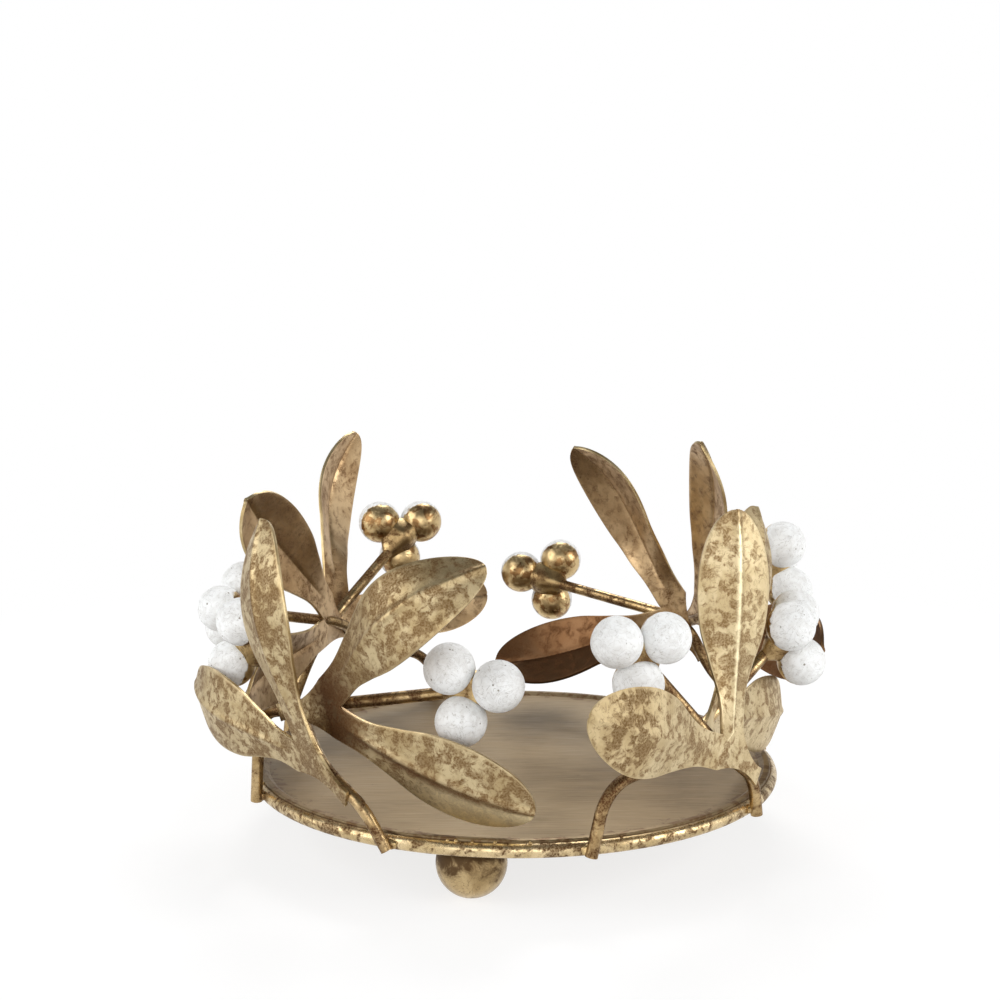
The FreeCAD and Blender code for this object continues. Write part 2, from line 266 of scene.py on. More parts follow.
class NodeSheet:
    """Node tree of a material or of the world, with short calls for the nodes in it."""

    def __init__(self, owner: bpy.types.ID, space: str = "Object") -> None:
        """Starts an empty tree.

        Args:
            owner: Material or world that the tree belongs to.
            space: Coordinates that its patterns follow.
        """
        owner.use_nodes = True
        self.owner = owner
        self.tree = owner.node_tree
        self.tree.nodes.clear()
        self.coords = self.add("ShaderNodeTexCoord").outputs[space]

    def add(self, kind: str, *values: object, **settings: object) -> bpy.types.Node:
        """Adds a node.

        Args:
            kind: Its type.
            values: Outputs, numbers or colours for its first inputs, in order.
            settings: Its settings by name.

        Returns:
            The node.
        """
        node = self.tree.nodes.new(kind)
        for key, value in settings.items():
            setattr(node, key, value)
        for socket, value in zip(node.inputs, values):
            self.feed(socket, value)
        return node

    def feed(self, socket: Socket, value: object) -> None:
        """Links a socket to an output, or sets its value.

        Args:
            socket: Input that takes the value.
            value: Output of another node, number or colour.
        """
        if isinstance(value, Socket):
            self.tree.links.new(value, socket)
        elif isinstance(value, tuple):
            socket.default_value = (*value, 1.0)
        else:
            socket.default_value = value

    def stretched(self, scale: Triple) -> Socket:
        """Coordinates with a scale of their own on each axis."""
        node = self.add("ShaderNodeMapping", self.coords)
        node.inputs["Scale"].default_value = scale
        return node.outputs["Vector"]

    def height(self) -> Socket:
        """Third of the coordinates."""
        return self.add("ShaderNodeSeparateXYZ", self.coords).outputs["Z"]

    def length(self, vector: Socket) -> Socket:
        """Length of a vector."""
        return self.add("ShaderNodeVectorMath", vector, operation="LENGTH").outputs["Value"]

    def reach(self) -> Socket:
        """Distance from the ring's axis."""
        return self.length(self.stretched((1.0, 1.0, 0.0)))

    def grain(self, pattern: Grain, coords: Socket | None = None) -> Socket:
        """Noise between 0 and 1.

        Args:
            pattern: Its scale and character.
            coords: Coordinates, or None for the sheet's own.

        Returns:
            Output with the noise.
        """
        node = self.add("ShaderNodeTexNoise", coords or self.coords)
        for key, number in asdict(pattern).items():
            node.inputs[key.title()].default_value = number
        return node.outputs["Fac"]

    def cells(self, scale: float) -> Socket:
        """Distance to the nearest of scattered points, as a share of their spacing."""
        node = self.add("ShaderNodeTexVoronoi", self.coords)
        node.inputs["Scale"].default_value = scale
        return node.outputs["Distance"]

    def step(self, value: Socket, step: Step) -> Socket:
        """Smooth step of a value."""
        return self.add("ShaderNodeMapRange", value, *astuple(step),
                        interpolation_type="SMOOTHSTEP").outputs["Result"]

    def maths(self, operation: str, first: object, second: object = 0.0) -> Socket:
        """Result of a Math node."""
        return self.add("ShaderNodeMath", first, second, operation=operation).outputs[0]

    def plus(self, first: object, second: object) -> Socket:
        """Sum of two values."""
        return self.maths("ADD", first, second)

    def times(self, first: object, second: object) -> Socket:
        """Product of two values."""
        return self.maths("MULTIPLY", first, second)

    def most(self, first: object, second: object) -> Socket:
        """Larger of two values."""
        return self.maths("MAXIMUM", first, second)

    def rest(self, share: object) -> Socket:
        """What a share leaves of 1."""
        return self.maths("SUBTRACT", 1.0, share)

    def centred(self, value: Socket) -> Socket:
        """Noise made to swing about zero."""
        return self.maths("SUBTRACT", value, 0.5)

    def total(self, *terms: tuple[Socket, float]) -> Socket:
        """Adds up values.

        Args:
            terms: Each value with its weight.

        Returns:
            Output with the sum.
        """
        result, *others = [self.times(value, weight) for value, weight in terms]
        for other in others:
            result = self.plus(result, other)
        return result

    def blend(self, share: object, first: object, second: object) -> Socket:
        """Mixes two colours.

        Args:
            share: Share of the second.
            first: First colour.
            second: Second colour.

        Returns:
            Output with the mixed colour.
        """
        node = self.add("ShaderNodeMix", share, data_type="RGBA")
        for index, colour in zip(MIXED_COLOURS, (first, second)):
            self.feed(node.inputs[index], colour)
        return node.outputs[MIX_RESULT]

    def attribute(self, name: str) -> Socket:
        """Number that the mesh keeps at each vertex."""
        return self.add("ShaderNodeAttribute", attribute_name=name).outputs["Fac"]

    def shader(self, kind: str, **values: object) -> Socket:
        """Adds a node with named inputs.

        Args:
            kind: Its type.
            values: Inputs by name, with _ for a space.

        Returns:
            Its first output.
        """
        node = self.add(kind)
        for key, value in values.items():
            self.feed(node.inputs[key.replace("_", " ")], value)
        return node.outputs[0]

    def bump(self, height: Socket, depth: float) -> Socket:
        """Normal of a rough surface, of that depth in metres."""
        return self.shader("ShaderNodeBump", Distance=depth, Height=height)

    def closed(self, shader: Socket, output: str = "ShaderNodeOutputMaterial") -> bpy.types.ID:
        """Owner of the tree, with that shader as its surface."""
        self.add(output, shader)
        return self.owner

    def surface(self, **values: object) -> Material:
        """Finished material, with a Principled shader of those inputs."""
        return self.closed(self.shader("ShaderNodeBsdfPrincipled", **values))


@dataclass(frozen=True)
class AntiqueGold:
    """Gold-coloured metal with a dark brown patina.

    Colours are linear, scales are features per metre, and cover is the share of patina, which
    sets the noise above which patina lies.
    """

    name: str
    metal: Triple = (0.66, 0.54, 0.33)
    shade: Triple = (0.54, 0.42, 0.235)
    tones: Grain = Grain(150.0, 4.0, 0.6, 0.3)
    tone_step: Step = Step(0.38, 0.62)
    patina: Triple = (0.25, 0.155, 0.068)
    cover: float = 0.44
    noise_at_half: float = 0.7
    noise_per_cover: float = 0.28
    blotch_scale: float = 440.0
    blotch_texture: Triple = (7.0, 0.62, 0.45)
    blotch_edge: float = 0.13
    drift_coarseness: float = 6.0
    drift_share: float = 0.4
    scribble: Grain = Grain(240.0, 5.0, 0.6, 1.6)
    line_core: float = 0.004
    line_edge: float = 0.016
    line_strength: float = 0.6
    stipple: Grain = Grain(2300.0)
    stipple_step: Step = Step(0.40, 0.62, 0.62, 1.0)
    # Painted highlight along a leaf's edges, where the patina thins
    edge_patina: Step = Step(0.90, 1.0, 1.0, 0.25)
    # Bright metal of painted highlights, and the dark brown of painted fold shade and of browning
    bare_metal: Triple = (0.97, 0.85, 0.56)
    patina_rubbed_off: float = 0.7
    browned_metal: Triple = (0.15, 0.066, 0.027)
    browned_cover: float = 0.88
    gloss_roughness: float = 0.45
    patina_roughness: float = 0.56
    fine_roughness: float = 0.08
    dull_roughness: float = 0.22
    fine_grain: Grain = Grain(1500.0, 3.0, 0.6)
    dents: Grain = Grain(130.0, 1.0)
    fine_rise: float = 0.25
    patina_rise: float = 0.3
    dent_rise: float = 3.0
    bump_depth: float = 0.00006
    seam_reach: float = 0.0
    seam_width: float = 0.0009
    # Top of a ball darkened above a level: painted shadow and reflection of the plate, with patina
    dirt_level: float = 0.0
    dirt_border: float = 0.0024
    dirt_cover: float = 0.9
    dirt_edge: Grain = Grain(200.0, 7.0, 0.7, 0.5)
    dirt_raggedness: float = 0.020

    def patina_mask(self, sheet: NodeSheet) -> Socket:
        """Where the patina lies, from 0 to 1, thinned towards a leaf's edges as a painted
        highlight.

        Args:
            sheet: Tree of the material.

        Returns:
            Output with the mask.
        """
        blotches = sheet.grain(Grain(self.blotch_scale, *self.blotch_texture))
        drift = sheet.grain(Grain(self.blotch_scale / self.drift_coarseness))
        value = sheet.plus(blotches, sheet.times(drift, self.drift_share))
        middle = self.noise_at_half + (0.5 - self.cover) * self.noise_per_cover
        half_edge = self.blotch_edge / 2
        mask = sheet.step(value, Step(middle - half_edge, middle + half_edge))
        squiggle = sheet.maths("ABSOLUTE", sheet.centred(sheet.grain(self.scribble)))
        lines = Step(self.line_core, self.line_edge, self.line_strength, 0.0)
        mask = sheet.most(mask, sheet.step(squiggle, lines))
        mask = sheet.times(mask, sheet.step(sheet.grain(self.stipple), self.stipple_step))
        # Patina thins towards a leaf's edges: a painted highlight along them
        across = sheet.maths("ABSOLUTE", sheet.attribute("across"))
        return sheet.times(mask, sheet.step(across, self.edge_patina))

    def seam(self, sheet: NodeSheet) -> Socket:
        """Dirt in the seam between the plate's lip and the hoop, 1 inside it."""
        edge = Step(self.seam_reach, self.seam_reach + self.seam_width, 1.0, 0.0)
        return sheet.step(sheet.reach(), edge)

    def dirt(self, sheet: NodeSheet) -> Socket:
        """Patina with a painted shadow and reflection of the plate above a level, with a ragged
        border.

        Args:
            sheet: Tree of the material.

        Returns:
            Output that rises above the level.
        """
        ragged = sheet.times(sheet.centred(sheet.grain(self.dirt_edge)), self.dirt_raggedness)
        border = Step(self.dirt_level - self.dirt_border, self.dirt_level + self.dirt_border,
                      0.0, self.dirt_cover)
        return sheet.step(sheet.plus(sheet.height(), ragged), border)

    def material(self) -> Material:
        """Builds the material.

        Returns:
            The finished material.
        """
        sheet = NodeSheet(bpy.data.materials.new(self.name))
        mask = self.patina_mask(sheet)
        # Painted shadow and reflection of the plate over a ball's top, with patina
        if self.dirt_level:
            mask = sheet.most(mask, self.dirt(sheet))
        if self.seam_reach:
            mask = sheet.most(mask, self.seam(sheet))
        tone = sheet.step(sheet.grain(self.tones), self.tone_step)
        metal = sheet.blend(tone, self.metal, self.shade)
        # Painted highlight: the leaf's number turns the metal bright and takes patina off
        wear = sheet.attribute("wear")
        highlight = sheet.step(wear, Step(0.0, 1.0))
        metal = sheet.blend(highlight, metal, self.bare_metal)
        mask = sheet.times(mask, sheet.rest(sheet.times(highlight, self.patina_rubbed_off)))
        colour = sheet.blend(mask, metal, self.patina)
        # Darkening: painted shade along a fold, and browning
        browned = sheet.times(sheet.attribute("browned"), self.browned_cover)
        colour = sheet.blend(browned, colour, self.browned_metal)
        fine = sheet.grain(self.fine_grain)
        gloss = Step(0.0, 1.0, self.gloss_roughness, self.patina_roughness)
        roughness = sheet.plus(sheet.step(mask, gloss), sheet.times(fine, self.fine_roughness))
        dulled = sheet.step(wear, Step(-1.0, 0.0, self.dull_roughness, 0.0))
        roughness = sheet.plus(roughness, dulled)
        height = sheet.total((fine, self.fine_rise), (mask, self.patina_rise),
                             (sheet.grain(self.dents), self.dent_rise))
        return sheet.surface(Base_Color=colour, Metallic=1.0, Roughness=roughness,
                             Normal=sheet.bump(height, self.bump_depth))


@dataclass(frozen=True)
class BrushedPlate:
    """Plate metal, brushed from side to side, with denser patina towards its rim that also paints
    the shade near the lip.
    """

    name: str = "brushed_plate"
    metal: Triple = (0.26, 0.192, 0.108)
    shade: Triple = (0.195, 0.14, 0.075)
    streaks: Grain = Grain(60.0, 5.0, 0.65)
    streak_stretch: Triple = (0.6, 4.0, 4.0)
    streak_share: float = 0.4
    clouds: Grain = Grain(38.0, 4.0, 0.6, 0.4)
    cloud_share: float = 0.7
    tone_step: Step = Step(0.44, 0.68)
    patina: Triple = (0.12, 0.062, 0.026)
    blotches: Grain = Grain(260.0, 7.0, 0.65, 0.5)
    blotch_step: Step = Step(0.64, 0.76, 0.0, 0.8)
    rim_reach: float = 0.0605
    rim_width: float = 0.004
    rim_patina: float = 0.17
    hairs: Grain = Grain(420.0, 3.0, 0.6)
    hair_stretch: Triple = (0.25, 6.0, 6.0)
    hair_roughness: Step = Step(0.3, 0.7, 0.38, 0.56)
    hair_rise: float = 0.6
    patina_rise: float = 0.3
    bump_depth: float = 0.00005
    metallic: float = 0.92

    def material(self) -> Material:
        """Builds the material.

        Returns:
            The finished material.
        """
        sheet = NodeSheet(bpy.data.materials.new(self.name))
        streaks = sheet.grain(self.streaks, sheet.stretched(self.streak_stretch))
        hairs = sheet.grain(self.hairs, sheet.stretched(self.hair_stretch))
        clouds = sheet.grain(self.clouds)
        tone = sheet.total((streaks, self.streak_share), (clouds, self.cloud_share))
        colour = sheet.blend(sheet.step(tone, self.tone_step), self.metal, self.shade)
        # Denser patina towards the rim, which also paints the shade near the lip
        rim = Step(self.rim_reach - self.rim_width, self.rim_reach, 0.0, self.rim_patina)
        blotches = sheet.plus(sheet.grain(self.blotches), sheet.step(sheet.reach(), rim))
        mask = sheet.step(blotches, self.blotch_step)
        colour = sheet.blend(mask, colour, self.patina)
        roughness = sheet.step(hairs, self.hair_roughness)
        height = sheet.total((hairs, self.hair_rise), (mask, self.patina_rise))
        return sheet.surface(Base_Color=colour, Metallic=self.metallic, Roughness=roughness,
                             Normal=sheet.bump(height, self.bump_depth))


@dataclass(frozen=True)
class ChalkedBerry:
    """Chalky white paint over antique gold, with a ragged edge, pinholes and scratches."""

    name: str = "chalked_berry"
    white: Triple = (0.92, 0.93, 0.925)
    grey: Triple = (0.82, 0.82, 0.805)
    ground: Triple = (0.34, 0.31, 0.27)
    metal: Triple = (0.62, 0.46, 0.235)
    patina: Triple = (0.30, 0.17, 0.07)
    strokes: Grain = Grain(420.0, 6.0, 0.65, 0.8)
    stroke_step: Step = Step(0.36, 0.60)
    raggedness: float = 0.55
    paint_edge: Step = Step(-0.38, -0.31)
    pinhole_scale: float = 430.0
    pinhole_step: Step = Step(0.085, 0.12)
    sound_patches: Grain = Grain(170.0, 1.0)
    patch_step: Step = Step(0.50, 0.56)
    scratches: Grain = Grain(300.0, 3.0, 0.5, 2.2)
    scratch_step: Step = Step(0.003, 0.011, 0.55, 1.0)
    blotches: Grain = Grain(320.0, 6.0, 0.6, 0.4)
    blotch_step: Step = Step(0.50, 0.57)
    paint_roughness: Step = Step(0.0, 1.0, 0.30, 0.78)
    texture_rise: float = 0.5
    paint_rise: float = 0.8
    bump_depth: float = 0.00016

    def material(self) -> Material:
        """Builds the material.

        Returns:
            The finished material.
        """
        sheet = NodeSheet(bpy.data.materials.new(self.name))
        strokes = sheet.grain(self.strokes)
        ragged = sheet.times(sheet.centred(strokes), self.raggedness)
        paint = sheet.step(sheet.plus(sheet.attribute("outward"), ragged), self.paint_edge)
        pinholes = sheet.step(sheet.cells(self.pinhole_scale), self.pinhole_step)
        patches = sheet.step(sheet.grain(self.sound_patches), self.patch_step)
        scratch = sheet.maths("ABSOLUTE", sheet.centred(sheet.grain(self.scratches)))
        scratches = sheet.step(scratch, self.scratch_step)
        sound = sheet.times(sheet.most(pinholes, patches), scratches)
        chalk = sheet.blend(sheet.step(strokes, self.stroke_step), self.grey, self.white)
        chalk = sheet.blend(sound, self.ground, chalk)
        blotches = sheet.step(sheet.grain(self.blotches), self.blotch_step)
        gold = sheet.blend(blotches, self.metal, self.patina)
        height = sheet.total((strokes, self.texture_rise), (sound, self.texture_rise),
                             (paint, self.paint_rise))
        return sheet.surface(Base_Color=sheet.blend(paint, gold, chalk),
                             Metallic=sheet.rest(paint),
                             Roughness=sheet.step(paint, self.paint_roughness),
                             Normal=sheet.bump(height, self.bump_depth))


@dataclass
class Workshop:
    """The finishes, each built once."""

    def __post_init__(self) -> None:
        """Builds the materials."""
        self.leaf_outside = AntiqueGold("leaf_outside", cover=0.42).material()
        self.leaf_outside_rubbed = AntiqueGold(
            "leaf_outside_rubbed", metal=(0.56, 0.45, 0.265), shade=(0.42, 0.315, 0.165),
            patina=(0.20, 0.12, 0.052), cover=0.56, gloss_roughness=0.40).material()
        self.leaf_inside = AntiqueGold(
            "leaf_inside", metal=(0.58, 0.415, 0.235), shade=(0.44, 0.295, 0.155),
            patina=(0.19, 0.105, 0.048), cover=0.32, blotch_edge=0.28, line_strength=0.1,
            gloss_roughness=0.32).material()
        self.cut_edge = AntiqueGold(
            "cut_edge", metal=(0.64, 0.51, 0.29), shade=(0.48, 0.36, 0.18), cover=0.36,
            line_strength=0.2, gloss_roughness=0.36).material()
        self.wire = AntiqueGold(
            "bent_wire", metal=(0.54, 0.39, 0.20), shade=(0.38, 0.26, 0.12),
            patina=(0.11, 0.052, 0.022), cover=0.54, blotch_scale=260.0, blotch_edge=0.16,
            gloss_roughness=0.24).material()
        self.hoop = AntiqueGold(
            "speckled_hoop", metal=(0.74, 0.58, 0.34), shade=(0.56, 0.42, 0.22),
            patina=(0.13, 0.07, 0.03), cover=0.40, blotch_scale=380.0, blotch_edge=0.12,
            seam_reach=0.0632, gloss_roughness=0.23).material()
        # The feet's tops carry painted shadow and reflection of the plate, with patina
        self.foot = AntiqueGold(
            "foot_gold", metal=(0.54, 0.40, 0.21), shade=(0.37, 0.26, 0.125),
            patina=(0.07, 0.034, 0.014), cover=0.30, blotch_scale=230.0, blotch_edge=0.14,
            dirt_level=-0.0082, gloss_roughness=0.20).material()
        self.solder = AntiqueGold(
            "soldered_gold", metal=(0.58, 0.43, 0.21), shade=(0.36, 0.24, 0.11),
            patina=(0.14, 0.075, 0.032), cover=0.38, blotch_scale=300.0, blotch_edge=0.14,
            gloss_roughness=0.30).material()
        self.plate = BrushedPlate().material()
        self.berry = ChalkedBerry().material()


# Pieces


def used_up(bm: BMesh, name: str) -> bpy.types.Mesh:
    """Mesh of a bmesh.

    Args:
        bm: The bmesh, which is freed.
        name: Name of the mesh.

    Returns:
        The mesh.
    """
    mesh = bpy.data.meshes.new(name)
    bm.to_mesh(mesh)
    bm.free()
    return mesh


def placed(name: str, data: bpy.types.ID) -> bpy.types.Object:
    """Puts an object in the scene.

    Args:
        name: Name of the object.
        data: Its mesh, lamp or camera.

    Returns:
        The object.
    """
    thing = bpy.data.objects.new(name, data)
    bpy.context.scene.collection.objects.link(thing)
    return thing


def finished(bm: BMesh, name: str, materials: list[Material],
             replaces: str | None = None) -> bpy.types.Object:
    """Object of a finished mesh, riding on the part.

    Args:
        bm: Mesh, which is used up.
        name: Name of the piece.
        materials: Its materials.
        replaces: CAD node that it stands for, if any.

    Returns:
        The object, in the scene.
    """
    piece = placed(name, used_up(bm, name))
    for material in materials:
        piece.data.materials.append(material)
    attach(piece, "root")
    if replaces:
        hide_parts(replaces)
    LOG.info("%s: %d faces", name, len(piece.data.polygons))
    return piece


def soften(bm: BMesh) -> None:
    """Shades a mesh smooth and keeps its sharp edges.

    Args:
        bm: The mesh.
    """
    for face in bm.faces:
        face.smooth = True
    for edge in bm.edges:
        edge.smooth = edge.calc_face_angle(0.0) < SHARP_ANGLE


def dress_copy(node: bpy.types.Object, material: Material) -> None:
    """Dresses a copy of a CAD node, merged and shaded smooth, which stands for it.

    Args:
        node: The CAD node.
        material: Its finish.
    """
    bm = bmesh.new()
    bm.from_mesh(node.data)
    bmesh.ops.remove_doubles(bm, verts=bm.verts[:], dist=WELD)
    soften(bm)
    for face in bm.faces:
        face.material_index = 0
    piece = finished(bm, node.name + "_dressed", [material], node.name)
    old_normals = piece.data.attributes.get("custom_normal")
    if old_normals is not None:
        piece.data.attributes.remove(old_normals)


@dataclass
class PlateAndHoop:
    """Pressed plate, wire hoop under its lip and three ball feet."""

    nodes: dict[str, bpy.types.Object]
    finishes: Workshop

    def build(self) -> None:
        """Dresses each of them."""
        dress_copy(self.nodes["plate_disc"], self.finishes.plate)
        dress_copy(self.nodes["rim_hoop"], self.finishes.hoop)
        for name in sorted(self.nodes):
            if name.startswith("foot_ball"):
                dress_copy(self.nodes[name], self.finishes.foot)


@dataclass
class Solder:
    """Solder at the wires' feet and beads in the seam."""

    ring: Ring
    finishes: Workshop
    drop_size: Triple = (0.0021, 0.0009, 0.0013)
    drop_inset: float = 0.0001
    bead_radius: float = 0.00042
    bead_outset: float = 0.0002
    bead_rise: float = 0.00165
    bead_azimuths: tuple[float, ...] = (
        -13.5, -11.8, -8.6, -4.1, 2.7, 21.0, 96.0, 152.0, 203.0, 290.0)
    unevenness: float = 0.22
    uneven_scale: float = 900.0

    def drop(self, bm: BMesh, azimuth: float, reach: float, level: float, size: Triple) -> None:
        """Adds one uneven drop.

        Args:
            bm: Mesh that it goes in.
            azimuth: Degrees from the front.
            reach: Distance of its middle from the axis.
            level: Height of its middle.
            size: Half its size along the hoop, outwards and upwards.
        """
        centre = around(azimuth, reach, level)
        turn = Matrix.Rotation(math.radians(azimuth), 4, "Z")
        matrix = Matrix.Translation(centre) @ turn @ Matrix.Diagonal((*size, 1.0))
        drop = bmesh.ops.create_icosphere(bm, subdivisions=3, radius=1.0, matrix=matrix)
        for vert in drop["verts"]:
            swell = self.unevenness * noise.noise(vert.co * self.uneven_scale)
            vert.co = centre + (vert.co - centre) * (1 + swell)

    def build(self) -> None:
        """Builds the drops as one piece and the beads as another."""
        bm = bmesh.new()
        reach = self.ring.hoop_outside - self.drop_inset
        for half in HALF_SPRAYS:
            self.drop(bm, half.stem, reach, self.ring.hoop_level, self.drop_size)
        soften(bm)
        finished(bm, "foot_solder", [self.finishes.solder])
        bm = bmesh.new()
        reach = self.ring.hoop_reach + self.bead_outset
        level = self.ring.hoop_level + self.bead_rise
        for azimuth in self.bead_azimuths:
            self.drop(bm, azimuth, reach, level, (self.bead_radius,) * 3)
        soften(bm)
        finished(bm, "seam_beads", [self.finishes.solder])


@dataclass(frozen=True)
class LeafPaintedLightAndWear:
    """How painted highlights, painted sheen, painted fold shade, dulling and browning spread over a
    leaf, in shares of its length and of its half width.

    A run is the stretch over which a change takes place.
    """

    # Painted highlight along the vein and painted sheen on one half of the leaf
    vein_width: float = 0.05
    vein_end_run: float = 0.125
    gleam: float = 0.25
    gleam_run: float = 1 / 3
    # Painted sheen on a leaf's lower half
    bare_side_run: float = 1 / 2.4
    bare_start: float = 0.3
    bare_run: float = 0.4
    dull_start: float = 0.45
    dull_run: float = 0.3
    # Browning of whole leaves, and how deep the browned neck and the painted shade along the fold
    # go
    brown_run: float = 1 / 3
    brown_depth: float = 0.8
    neck_run: float = 0.25
    # Painted shade along the fold of the lower half, fading towards the tip
    fold_middle: float = 0.15
    fold_width: float = 0.15
    fold_start: float = 0.5
    fold_run: float = 0.5
    fold_loss: float = 0.5

    def at(self, wear: PaintedLightAndWear, along: float, across: float) -> tuple[float, float]:
        """Painted highlight, dulling and darkening at one place of a leaf.

        Args:
            wear: Where the leaf gets painted light, is dulled or is browned.
            along: Share of the leaf's length.
            across: Place across it, from -1 to 1.

        Returns:
            Painted highlight up to 1, or -1 where the leaf is dull, and darkening from 0 to 1,
            which is painted shade along a fold and browning elsewhere.
        """
        # Painted highlight along the vein, and painted sheen on one half
        if wear is PaintedLightAndWear.BARE_VEIN:
            line = math.exp(-(across / self.vein_width) ** 2)
            line *= smooth((1 - along) / self.vein_end_run)
            return max(line, self.gleam * smooth(across / self.gleam_run)), 0.0
        if wear is PaintedLightAndWear.DULL_TIP:
            return -smooth((along - self.dull_start) / self.dull_run), 0.0
        if wear is PaintedLightAndWear.BROWNED:
            return 0.0, smooth(along / self.brown_run)
        neck = self.brown_depth * (1 - smooth(along / self.neck_run))
        if wear is PaintedLightAndWear.BROWNED_NECK:
            return 0.0, neck
        # Painted sheen on the lower half and painted shade along the fold, with a browned neck
        if wear is PaintedLightAndWear.BARE_LOWER_HALF:
            highlight = smooth(across / self.bare_side_run)
            highlight *= smooth((along - self.bare_start) / self.bare_run)
            fold = math.exp(-((across - self.fold_middle) / self.fold_width) ** 2)
            fade = 1 - self.fold_loss * smooth((along - self.fold_start) / self.fold_run)
            return highlight, max(neck, self.brown_depth * fold * fade)
        return 0.0, 0.0


@dataclass
class SprayPart:
    """What the parts of one half spray are built from."""

    ring: Ring
    finishes: Workshop
    number: int
    half: HalfSpray


